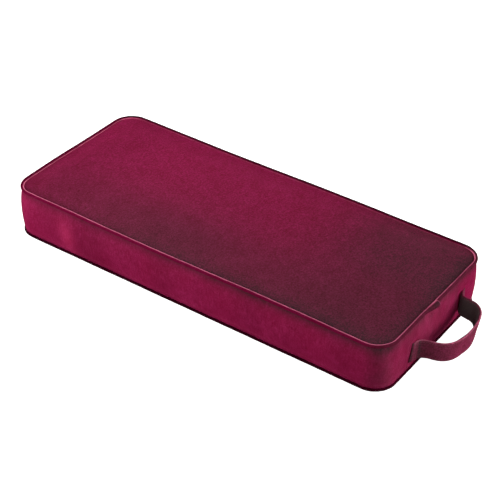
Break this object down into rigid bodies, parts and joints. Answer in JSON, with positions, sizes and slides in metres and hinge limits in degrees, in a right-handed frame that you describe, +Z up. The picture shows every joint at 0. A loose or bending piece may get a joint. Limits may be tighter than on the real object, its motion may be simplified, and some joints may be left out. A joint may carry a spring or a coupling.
{
  "type": "kneeling cushion",
  "caption": "Boxed foam kneeling cushion in a zipped, piped velvet cover, with a strap carry handle on one end; the zip slider, its pull tab and the handle loop move.",
  "frame": {"origin": "centre of the cushion's underside, at the middle of the bottom panel, on the surface that it rests on", "axes": "+X along the length towards the end with the carry handle, +Y across the width towards the zipped long side, +Z up out of the kneeling surface"},
  "size_m": [0.5518, 0.2235, 0.0633],
  "materials": {
    "velvet": "matte",
    "webbing": "matte",
    "grip_fabric": "matte",
    "cotton_cord": "matte",
    "firm_foam": "matte",
    "soft_foam": "matte",
    "zipper_tape": "matte",
    "zipper_coil": "satin",
    "zipper_metal": "satin"
  },
  "bodies": {
    "cushion": {"top_panel": "velvet", "boxing_strip": "velvet", "bottom_panel": "grip_fabric", "top_piping": "velvet", "top_piping_cord": "cotton_cord", "bottom_piping": "velvet", "bottom_piping_cord": "cotton_cord", "base_foam": "firm_foam", "comfort_foam": "soft_foam", "zipper_strip_upper": "velvet", "zipper_strip_lower": "velvet", "zipper_tape_upper": "zipper_tape", "zipper_tape_lower": "zipper_tape", "zipper_coil_upper": "zipper_coil", "zipper_coil_lower": "zipper_coil", "zipper_top_stop_upper": "zipper_metal", "zipper_top_stop_lower": "zipper_metal", "zipper_bottom_stop": "zipper_metal", "handle_front_end": "velvet", "handle_rear_end": "velvet"},
    "slider": {"zipper_slider": "zipper_metal"},
    "pull": {"zipper_pull": "zipper_metal"},
    "handle": {"handle_loop": "velvet", "handle_lining": "webbing"}
  },
  "joints": [
    {"name": "zip_slide", "type": "slide", "parent": "cushion", "child": "slider", "axis": [1, 0, 0], "range_m": [-0.362, 0]},
    {"name": "pull_swing", "type": "hinge", "parent": "slider", "child": "pull", "pos_m": [0.181, 0.1117, 0.0316], "axis": [0, 0, -1], "range_deg": [0, 170]},
    {"name": "handle_swing", "type": "hinge", "parent": "cushion", "child": "handle", "pos_m": [0.258, 0, 0.0235], "axis": [0, -1, 0], "range_deg": [-8, 35], "stiffness_Nm_per_rad": 0.01}
  ]
}
